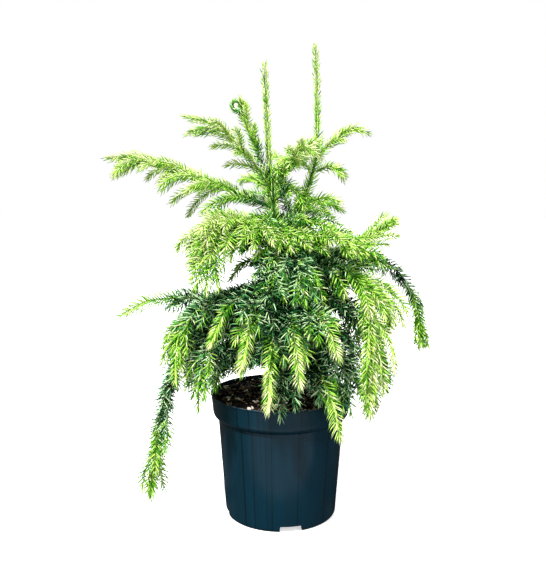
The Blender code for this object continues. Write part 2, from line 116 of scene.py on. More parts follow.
def readShape(obj):
    # a small modelled shape as arrays, ready to be copied many times. The object itself goes.
    mesh = obj.data
    mesh.calc_loop_triangles()
    verts = np.array([vert.co[:] for vert in mesh.vertices])
    triangles = np.array([tri.vertices[:] for tri in mesh.loop_triangles])
    bpy.data.objects.remove(obj, do_unlink=True)
    return verts, triangles


# Nodes. Their inputs are given in order or by label, with _ for a space: each is a value or another node's output

def setInputs(tree, node, *inOrder, **byLabel):
    named = [(label.replace("_", " "), value) for label, value in byLabel.items()]
    for socket, value in [*enumerate(inOrder), *named]:
        if isinstance(value, bpy.types.NodeSocket):
            tree.links.new(value, node.inputs[socket])
        else:
            node.inputs[socket].default_value = value
    return node.outputs


def addNode(tree, kind, *inOrder, mode=None, **byLabel):
    # mode is the operation of a Math node or the data type of a Mix node. The outputs are handed back
    node = tree.nodes.new("ShaderNode" + kind)
    if mode and kind == "Mix":
        node.data_type = mode
    elif mode:
        node.operation = mode
    return setInputs(tree, node, *inOrder, **byLabel)


def placeGroup(tree, group, **byLabel):
    node = tree.nodes.new("ShaderNodeGroup")
    node.node_tree = group
    return setInputs(tree, node, **byLabel)


def newMaterial(name, **byLabel):
    material = bpy.data.materials.new(name)
    material.use_nodes = True
    tree = material.node_tree
    shader = tree.nodes["Principled BSDF"]
    setInputs(tree, shader, **byLabel)
    return material, tree, shader


def addBump(tree, shader, height, strength, distance):
    bump = addNode(tree, "Bump", Height=height, Strength=strength, Distance=distance)
    setInputs(tree, shader, Normal=bump["Normal"])


def newGroup(name, inputs, *outputs):
    # the group, the outputs of its input node, and its output node. A tuple stands for a colour
    group = bpy.data.node_groups.new(name, "ShaderNodeTree")
    for label, value in inputs.items():
        kind = "NodeSocketColor" if isinstance(value, tuple) else "NodeSocketFloat"
        socket = group.interface.new_socket(name=label, in_out="INPUT", socket_type=kind)
        socket.default_value = value
    for label in outputs:
        kind = "NodeSocketColor" if label == "Color" else "NodeSocketFloat"
        group.interface.new_socket(name=label, in_out="OUTPUT", socket_type=kind)
    return group, group.nodes.new("NodeGroupInput").outputs, group.nodes.new("NodeGroupOutput")


# Camera, light and floor

studio = {
    "cameraPlace": (-0.0106, -1.0, 0.449),
    "cameraPitch": 7.84,
    "lens": 47.3,
    "floorRadius": 9.0,
    "floorColor": (0.93, 0.93, 0.93),
    "floorGlow": 0.60,
    "floorBounce": (0.30, 0.31, 0.32),
    "skyColor": (0.96, 0.98, 1.0),
    "skyLight": 0.33,
    "mirroredSky": 0.16,
    "mirroredFloor": (0.06, 0.06, 0.06),
    "sun": {"from": (-0.55, -0.80, 1.35), "strength": 5.7, "spread": 6.0},
    "lamps": {
        "fillLamp": {"place": (1.3, -1.5, 0.9), "size": (1.0, 1.4), "watts": 14.0},
        "backLamp": {"place": (0.5, 1.6, 1.5), "size": (1.4, 1.0), "watts": 22.0},
        "frontPanel": {"place": (0.0, -0.33, 0.003), "size": (0.50, 0.35), "watts": 0.80, "mirroredOnly": True},
    },
    "aim": (0.0, 0.0, 0.30),
}


def aimAt(obj, place):
    obj.rotation_euler = (Vector(place) - obj.location).to_track_quat("-Z", "Y").to_euler()


def setStudio():
    scene = bpy.context.scene
    scene.view_settings.view_transform = "Standard"
    clearSelection()
    bpy.ops.object.camera_add(location=studio["cameraPlace"])
    camera = bpy.context.object
    camera.name = "photoCamera"
    camera.rotation_euler = (math.radians(90 - studio["cameraPitch"]), 0.0, 0.0)
    camera.data.lens = studio["lens"]
    camera.data.sensor_width = 36.0
    camera.data.clip_start = 0.01
    scene.camera = camera
    bpy.ops.object.light_add(type="SUN", location=studio["sun"]["from"])
    sun = bpy.context.object
    sun.name = "keySun"
    sun.data.energy = studio["sun"]["strength"]
    sun.data.angle = math.radians(studio["sun"]["spread"])
    aimAt(sun, (0, 0, 0))
    for name, lamp in studio["lamps"].items():
        bpy.ops.object.light_add(type="AREA", location=lamp["place"])
        light = bpy.context.object
        light.name = name
        light.data.shape = "RECTANGLE"
        light.data.size, light.data.size_y = lamp["size"]
        light.data.energy = lamp["watts"]
        light.visible_camera = False
        if lamp.get("mirroredOnly"):  # lies on the floor and shows only in the gloss of the pot
            light.visible_diffuse = False
            aimAt(light, light.location + Vector((0, 0, 1)))
        else:
            aimAt(light, studio["aim"])
    makeWorld(scene)

    clearSelection()
    bpy.ops.mesh.primitive_circle_add(vertices=128, radius=studio["floorRadius"], fill_type="NGON", location=(0, 0, 0))
    floor = bpy.context.object
    floor.name = "studioFloor"
    floor.data.materials.append(makeFloorPaint())


def splitForCamera(tree, path, lit, shown, output):
    # the camera sees one shader, and everything else is lit by the other
    pick = addNode(tree, "MixShader", path["Is Camera Ray"], lit, shown)
    setInputs(tree, tree.nodes[output], Surface=pick["Shader"])


def makeFloorPaint():
    # pale in the camera, dimmer in the light that it throws back, and darker still in a gloss
    white = (1.0, 1.0, 1.0, 1.0)
    paint, tree, shader = newMaterial("floorPaint", Base_Color=(*studio["floorColor"], 1.0), Roughness=0.8)
    shown = setInputs(tree, shader, Emission_Color=white, Emission_Strength=studio["floorGlow"])
    path = addNode(tree, "LightPath")
    thrown, mirrored = (*studio["floorBounce"], 1.0), (*studio["mirroredFloor"], 1.0)
    bounce = addNode(tree, "Mix", mode="RGBA", Factor=path["Is Glossy Ray"], A=thrown, B=mirrored)
    dim = addNode(tree, "BsdfDiffuse", Color=bounce["Result"])
    splitForCamera(tree, path, dim["BSDF"], shown["BSDF"], "Material Output")
    return paint


def makeWorld(scene):
    # a white sky behind the plant that lights it less than it shows
    world = bpy.data.worlds.new("paleStudio")
    world.use_nodes = True
    tree = world.node_tree
    shown = setInputs(tree, tree.nodes["Background"], Color=(1.0, 1.0, 1.0, 1.0), Strength=1.0)
    path = addNode(tree, "LightPath")
    share = addNode(tree, "Mix", Factor=path["Is Glossy Ray"], A=studio["skyLight"], B=studio["mirroredSky"])
    lit = addNode(tree, "Background", Color=(*studio["skyColor"], 1.0), Strength=share["Result"])
    splitForCamera(tree, path, lit["Background"], shown["Background"], "World Output")
    scene.world = world


setStudio()
print("studio set")


# Shader groups that several finishes share

def makeMottle():
    # two colours in soft, uneven patches, stretched along the height by Stretch
    colors = {"Color A": (0.1, 0.1, 0.1, 1), "Color B": (0.2, 0.2, 0.2, 1)}
    sizes = {"Scale": 60.0, "Stretch": 1.0, "Contrast": 0.25}
    group, given, result = newGroup("mottle", {**colors, **sizes}, "Color", "Mask")
    place = addNode(group, "TexCoord")
    pack = addNode(group, "CombineXYZ", 1.0, 1.0, given["Stretch"])
    squash = addNode(group, "VectorMath", place["Object"], pack["Vector"], mode="MULTIPLY")
    cloud = addNode(group, "TexNoise", Vector=squash["Vector"], Scale=given["Scale"], Detail=6.0, Roughness=0.6)
    low = addNode(group, "Math", 0.5, given["Contrast"], mode="SUBTRACT")
    high = addNode(group, "Math", 0.5, given["Contrast"], mode="ADD")
    spread = addNode(group, "MapRange", Value=cloud["Fac"], From_Min=low["Value"], From_Max=high["Value"])
    mix = addNode(group, "Mix", mode="RGBA", Factor=spread["Result"], A=given["Color A"], B=given["Color B"])
    setInputs(group, result, Color=mix["Result"], Mask=spread["Result"])
    return group


def makeSettledDust():
    # pale dust that lies on faces that look up, in uneven patches
    colors = {"Color": (0.1, 0.1, 0.1, 1), "Dust Color": (0.3, 0.25, 0.2, 1)}
    sizes = {"Roughness": 0.4, "Amount": 0.4, "Scale": 90.0}
    group, given, result = newGroup("settledDust", {**colors, **sizes}, "Color", "Roughness")
    split = addNode(group, "SeparateXYZ", addNode(group, "NewGeometry")["Normal"])
    upward = addNode(group, "MapRange", Value=split["Z"], From_Min=0.1, From_Max=0.9)
    place = addNode(group, "TexCoord")
    specks = addNode(group, "TexNoise", Vector=place["Object"], Scale=given["Scale"], Detail=4.0)
    patch = addNode(group, "MapRange", Value=specks["Fac"], From_Min=0.42, From_Max=0.62)
    both = addNode(group, "Math", upward["Result"], patch["Result"], mode="MULTIPLY")
    share = addNode(group, "Math", both["Value"], given["Amount"], mode="MULTIPLY")
    mix = addNode(group, "Mix", mode="RGBA", Factor=share["Value"], A=given["Color"], B=given["Dust Color"])
    rough = addNode(group, "MapRange", Value=share["Value"], To_Min=given["Roughness"], To_Max=0.9)
    setInputs(group, result, Color=mix["Result"], Roughness=rough["Result"])
    return group


mottle = makeMottle()
settledDust = makeSettledDust()


# Pot

pot = {
    "height": 0.168,
    "rimRadius": 0.095,
    "rimHeight": 0.022,
    "rimTaper": 0.0025,
    "shoulderHeight": 0.012,
    "bodyTopRadius": 0.0850,
    "bodyFootRadius": 0.0757,
    "corner": 0.005,
    "wall": 0.0015,
    "footWidth": 0.004,
    "floorLift": 0.0085,
    "floorThickness": 0.0025,
    "padRadius": 0.018,
    "notches": 4,
    "notchWidth": 0.036,
    "notchTopWidth": 0.029,
    "notchHeight": 0.0080,
    "notchDepth": 0.030,
    "firstNotch": -80.0,
    "sides": 112,
    # the lip with a fine bead under it, inwards and down from the rim's top edge
    "lip": [(0.0010, 0.0), (0.0004, 0.0001), (0.0, 0.0006), (0.0001, 0.0022), (0.0005, 0.0026)],
    # the step at the shoulder's foot, outwards and up from the body's top edge
    "step": [(0.0012, 0.0016), (0.0002, 0.0008), (0.0, -0.0004)],
    "color": (0.0028, 0.0240, 0.0420, 1),
    # the deep colour and the line colour paint upright streaks, partly marks in the plastic and partly painted
    # reflection
    "colorDeep": (0.0026, 0.0185, 0.0290, 1),
    "colorLine": (0.0012, 0.0085, 0.0130, 1),
    "dust": {"Dust_Color": (0.16, 0.15, 0.13, 1), "Amount": 0.55, "Scale": 240.0},
    "roughness": 0.27,
}
rimFoot = pot["height"] - pot["rimHeight"]
shoulderFoot = rimFoot - pot["shoulderHeight"]
rimFootRadius = pot["rimRadius"] - pot["rimTaper"]


def potInnerRadius(height):
    heights = (pot["corner"], shoulderFoot, rimFoot, pot["height"])
    radii = (pot["bodyFootRadius"], pot["bodyTopRadius"], rimFootRadius, pot["rimRadius"])
    return float(np.interp(height, heights, radii)) - pot["wall"]


def potProfile():
    # (radius, height) down the outer side from the middle of the inner floor to the middle of the underside
    floorTop = pot["floorLift"] + pot["floorThickness"]
    footOuter = pot["bodyFootRadius"] - pot["corner"] * 0.7
    footInner = footOuter - pot["footWidth"]
    profile = [(0.0, floorTop), (potInnerRadius(floorTop), floorTop)]
    profile += [(potInnerRadius(h), h) for h in (shoulderFoot, rimFoot, pot["height"] - 0.0004)]
    profile += [(pot["rimRadius"] - inwards, pot["height"] - down) for inwards, down in pot["lip"]]
    profile += [(rimFootRadius, rimFoot + 0.001)]
    for i in range(1, 8):  # the rim rolls in over the shoulder
        angle = math.radians(90 * i / 8)
        across = (rimFootRadius - pot["bodyTopRadius"] - 0.0016) * (1 - math.cos(angle))
        profile.append((rimFootRadius - across, rimFoot - (pot["shoulderHeight"] - 0.003) * math.sin(angle)))
    profile += [(pot["bodyTopRadius"] + outwards, shoulderFoot + rise) for outwards, rise in pot["step"]]
    for i in range(1, 8):  # the body's long taper
        share = i / 8
        height = mixed(shoulderFoot, pot["corner"], share)
        profile.append((mixed(pot["bodyTopRadius"], pot["bodyFootRadius"], share), height))
    for i in range(0, 6):  # the rounded foot
        angle = math.radians(90 * i / 5)
        profile.append((footOuter + pot["corner"] * 0.7 * math.cos(angle), pot["corner"] * (1 - math.sin(angle))))
    profile += [(footInner, 0.0), (footInner - 0.0015, pot["floorLift"])]
    profile += [(pot["padRadius"] + 0.002, pot["floorLift"]), (pot["padRadius"], 0.0), (0.0, 0.0)]
    return profile


def makePot():
    # one vertex is extruded along the profile, and the line is spun round the middle
    profile = potProfile()
    clearSelection()
    bpy.ops.mesh.primitive_plane_add(size=0.01, location=(0, 0, 0))
    shell = bpy.context.object
    shell.name = "potShell"
    editAll(shell)
    bpy.ops.mesh.merge(type="CENTER")
    bpy.ops.transform.translate(value=(profile[0][0], 0, profile[0][1]))
    for (r0, z0), (r1, z1) in zip(profile, profile[1:]):
        bpy.ops.mesh.extrude_region_move(TRANSFORM_OT_translate={"value": (r1 - r0, 0, z1 - z0)})
    bpy.ops.mesh.select_all(action="SELECT")
    bpy.ops.mesh.spin(steps=pot["sides"], angle=math.tau, center=(0, 0, 0), axis=(0, 0, 1))
    bpy.ops.mesh.select_all(action="SELECT")
    bpy.ops.mesh.remove_doubles(threshold=0.00002)
    closeMesh()
    cutNotches(shell)
    makeActive(shell)
    bpy.ops.object.shade_smooth_by_angle(angle=math.radians(35))
    return shell


def cutNotches(shell):
    # drainage notches through the foot, each wider at the ground
    for i in range(pot["notches"]):
        azimuth = math.radians(pot["firstNotch"] + 360 / pot["notches"] * i)
        clearSelection()
        middle = (pot["bodyFootRadius"] * math.cos(azimuth), pot["bodyFootRadius"] * math.sin(azimuth), 0)
        bpy.ops.mesh.primitive_cube_add(size=1, location=middle, rotation=(0, 0, azimuth))
        cutter = bpy.context.object
        cutter.scale = (pot["notchDepth"], pot["notchTopWidth"], pot["notchHeight"] * 2)
        bpy.ops.object.transform_apply(location=False, rotation=False, scale=True)
        editWhere(cutter, lambda co: co.z < 0)
        flare = 2 * (pot["notchWidth"] / pot["notchTopWidth"] - 1) + 1
        bpy.ops.transform.resize(value=(1, flare, 1), center_override=middle)
        bpy.ops.mesh.select_all(action="SELECT")
        bpy.ops.mesh.bevel(offset=0.0008, segments=2, affect="EDGES")
        bpy.ops.object.mode_set(mode="OBJECT")
        cut = shell.modifiers.new("notch", "BOOLEAN")
        cut.operation = "DIFFERENCE"
        cut.object = cutter
        makeActive(shell)
        bpy.ops.object.modifier_apply(modifier=cut.name)
        bpy.data.objects.remove(cutter, do_unlink=True)


def makePotPlastic():
    # dark blue-green plastic with faint upright flow marks, fine upright lines, grain and a little dust on the lip. The
    # upright marks and the fine dark lines are partly painted reflection: they stand in for dark upright streaks
    # mirrored in the gloss
    material, tree, shader = newMaterial("potPlastic", Metallic=0.0, Specular_IOR_Level=0.12)
    flowAndReflection = placeGroup(
        tree, mottle, Color_A=pot["colorDeep"], Color_B=pot["color"], Scale=85.0, Stretch=0.02, Contrast=0.22
    )
    place = addNode(tree, "TexCoord")
    level = addNode(tree, "VectorMath", place["Object"], (1.0, 1.0, 0.004), mode="MULTIPLY")
    upright = addNode(tree, "VectorMath", level["Vector"], mode="NORMALIZE")
    # fine dark upright lines round the pot: painted reflection of dark streaks in the gloss, as well as marks in the
    # plastic
    lines = addNode(tree, "TexNoise", Vector=upright["Vector"], Scale=17.0, Detail=1.0)
    fine = addNode(tree, "MapRange", Value=lines["Fac"], From_Min=0.63, From_Max=0.70, To_Max=0.7)
    lined = addNode(tree, "Mix", mode="RGBA", Factor=fine["Result"], A=flowAndReflection["Color"], B=pot["colorLine"])
    smoothest, roughest = pot["roughness"] - 0.05, pot["roughness"] + 0.07
    gloss = addNode(tree, "MapRange", Value=flowAndReflection["Mask"], To_Min=roughest, To_Max=smoothest)
    dust = placeGroup(tree, settledDust, Color=lined["Result"], Roughness=gloss["Result"], **pot["dust"])
    setInputs(tree, shader, Base_Color=dust["Color"], Roughness=dust["Roughness"])
    grain = addNode(tree, "TexNoise", Vector=place["Object"], Scale=900.0, Detail=2.0)
    heights = addNode(tree, "Math", grain["Fac"], 0.25, flowAndReflection["Mask"], mode="MULTIPLY_ADD")
    addBump(tree, shader, heights["Value"], 0.12, 0.0004)
    return material


addToPart(makePot(), makePotPlastic(), "pot_plastic", "pot")
print("pot made")


# Soil with bark chips

soil = {
    "top": 0.1612,
    "crown": 0.0015,
    "foot": 0.012,
    "lump": 0.0036,
    "crumb": 0.0016,
    "colorWet": (0.0012, 0.0008, 0.0005, 1),
    "colorDry": (0.016, 0.009, 0.005, 1),
    # how many flakes of each kind, their shortest and longest, and their two colours
    "chips": {
        "chipsDark": (560, (0.003, 0.011), (0.002, 0.001, 0.0007), (0.026, 0.013, 0.007)),
        "chipsTan": (170, (0.004, 0.011), (0.20, 0.11, 0.06), (0.52, 0.34, 0.21)),
        "chipsCream": (110, (0.004, 0.014), (0.70, 0.56, 0.42), (0.97, 0.89, 0.76)),
    },
    # no flakes lie nearer than this to the trunk's foot
    "stemX": 0.003,
    "stemRoom": 0.011,
    "sides": 120,
    "rings": 34,
    "seed": 5,
}


def soilHeight(x, y):
    spot = Vector((x, y, 0.0))
    lumps = noise.noise(spot * 55) * soil["lump"] + noise.noise(spot * 190) * soil["crumb"]
    edge = math.hypot(x, y) / 0.09
    return soil["top"] + soil["crown"] * (1 - edge * edge) + lumps


def makeSoil():
    # rings drawn inwards from the pot's wall, lumped from a noise, with a skirt down to the pot's floor
    radius = potInnerRadius(soil["top"]) - 0.0001
    clearSelection()
    bpy.ops.mesh.primitive_circle_add(vertices=soil["sides"], radius=radius, location=(0, 0, soil["top"]))
    ground = bpy.context.object
    ground.name = "soilBody"
    editAll(ground)
    rings = soil["rings"]
    for i in range(rings):
        shrink = (rings - i - 1) / (rings - i) if i < rings - 1 else 0.4
        bpy.ops.mesh.extrude_region_move()
        bpy.ops.transform.resize(value=(shrink, shrink, 1), center_override=(0, 0, soil["top"]))
    bpy.ops.mesh.edge_face_add()
    editWhere(ground, lambda co: co.to_2d().length > radius - 0.0002)
    skirt = [(radius, soil["top"])]
    for height in (rimFoot, shoulderFoot, soil["foot"]):
        skirt.append((potInnerRadius(height) - 0.0003, height))
    for (wide, high), (nextWide, nextHigh) in zip(skirt, skirt[1:]):
        bpy.ops.mesh.extrude_region_move()
        bpy.ops.transform.resize(value=(nextWide / wide, nextWide / wide, 1), center_override=(0, 0, 0))
        bpy.ops.transform.translate(value=(0, 0, nextHigh - high))
    bpy.ops.mesh.edge_face_add()
    closeMesh()
    putAtOrigin(ground)
    for vert in ground.data.vertices:
        if vert.co.z > soil["top"] - 0.001:
            vert.co.z = soilHeight(vert.co.x, vert.co.y)
    makeActive(ground)
    bpy.ops.object.shade_smooth_by_angle(angle=math.radians(60))
    return ground


def makeSoilFinish():
    material, tree, shader = newMaterial("soilFinish", Specular_IOR_Level=0.3)
    colors = {"Color_A": soil["colorWet"], "Color_B": soil["colorDry"]}
    patches = placeGroup(tree, mottle, Scale=320.0, Stretch=1.0, Contrast=0.16, **colors)
    rough = addNode(tree, "MapRange", Value=patches["Mask"], To_Min=0.55, To_Max=0.95)
    setInputs(tree, shader, Base_Color=patches["Color"], Roughness=rough["Result"])
    addBump(tree, shader, patches["Mask"], 0.8, 0.0010)
    return material


def modelChip(seed):
    # a torn flake of bark: a cube, cut across, pulled out of square and bevelled
    clearSelection()
    bpy.ops.mesh.primitive_cube_add(size=1)
    chip = bpy.context.object
    editAll(chip)
    bpy.ops.mesh.bisect(plane_co=(0.08, 0, 0), plane_no=(1, 0.25, 0.1))
    bpy.ops.object.mode_set(mode="OBJECT")
    shaker = random.Random(seed)
    for vert in chip.data.vertices:
        vert.co.x *= shaker.uniform(0.75, 1.1)
        vert.co.y *= 0.45 * shaker.uniform(0.6, 1.15)
        vert.co.z *= 0.22 * shaker.uniform(0.6, 1.3)
        vert.co.z += 0.10 * math.sin(vert.co.x * 2.5 + seed)
    editAll(chip)
    bpy.ops.mesh.bevel(offset=0.035, segments=1, affect="EDGES")
    bpy.ops.object.mode_set(mode="OBJECT")
    return readShape(chip)


def makeChips():
    shapes = [modelChip(seed) for seed in range(4)]
    rng = np.random.default_rng(soil["seed"])
    wall = potInnerRadius(soil["top"])
    for name, (count, lengths, colorDeep, colorLight) in soil["chips"].items():
        allVerts, allTris, first = [], [], 0
        for i in range(count):
            verts, triangles = shapes[rng.integers(len(shapes))]
            length = rng.uniform(*lengths) * (0.6 + 0.4 * rng.random())
            reach = (wall - 0.002 - length * 0.5) * math.sqrt(rng.random())
            turn = rng.uniform(0, math.tau)
            x, y = reach * math.cos(turn), reach * math.sin(turn)
            if math.hypot(x - soil["stemX"], y) < soil["stemRoom"]:
                continue
            tip = Matrix.Rotation(rng.normal(0, 0.38), 3, "X") @ Matrix.Rotation(rng.normal(0, 0.30), 3, "Y")
            spin = np.array(Matrix.Rotation(rng.uniform(0, math.tau), 3, "Z") @ tip)
            lift = length * 0.08 + rng.uniform(-0.0006, 0.0012)
            place = np.array([x, y, soilHeight(x, y) + lift])
            allVerts.append(verts * length @ spin.T + place)
            allTris.append(triangles + first)
            first += len(verts)
        chips = meshFromArrays(name, np.concatenate(allVerts), np.concatenate(allTris))
        material, tree, shader = newMaterial(name + "Finish", Roughness=0.85, Specular_IOR_Level=0.3)
        fibres = placeGroup(tree, mottle, Color_A=(*colorDeep, 1), Color_B=(*colorLight, 1), Scale=420.0, Contrast=0.20)
        setInputs(tree, shader, Base_Color=fibres["Color"])
        addBump(tree, shader, fibres["Mask"], 0.5, 0.0004)
        addToPart(chips, material, "soil_bark")


addToPart(makeSoil(), makeSoilFinish(), "soil_bark", "soil")
makeChips()
print("soil made")


# Stems and limbs. The limbs are those of the part's own table, some of them moved to meet the photograph more closely,
# and after low_left_rim come short extra ones that fill the crown and the skirt

stems = {
    "trunkFoot": 0.1603,
    "trunkHeight": 0.305,
    "footX": 0.003,
    "lean": 0.035,
    "bend": 0.07,
    "trunkRadius": 0.0052,
    "trunkTip": 0.0018,
    "flare": 0.0035,
    "flareHeight": 0.012,
    "secondHeight": 0.358,
    "secondReach": 0.054,
    "secondRise": 0.148,
    "secondRadius": 0.0026,
    "secondTip": 0.0016,
    "leader": 0.136,
    "secondLeader": 0.120,
    "boughRadius": 0.0026,
    "coreRadius": 0.0015,
    "boughTip": 0.0020,
    # each limb's last part nods over from a hump as high as this share of its reach
    "nod": 0.045,
    "nodFrom": 0.80,
    "nodPart": 0.20,
    "relief": 0.00035,
    "brown": [(0.060, 0.030, 0.014, 1), (0.23, 0.125, 0.058, 1)],
    "green": [(0.020, 0.090, 0.022, 1), (0.085, 0.250, 0.045, 1)],
    "greenFrom": 0.330,
    "greenFull": 0.385,
    "dust": {"Dust_Color": (0.20, 0.17, 0.11, 1), "Roughness": 0.88, "Amount": 0.3, "Scale": 300.0},
}

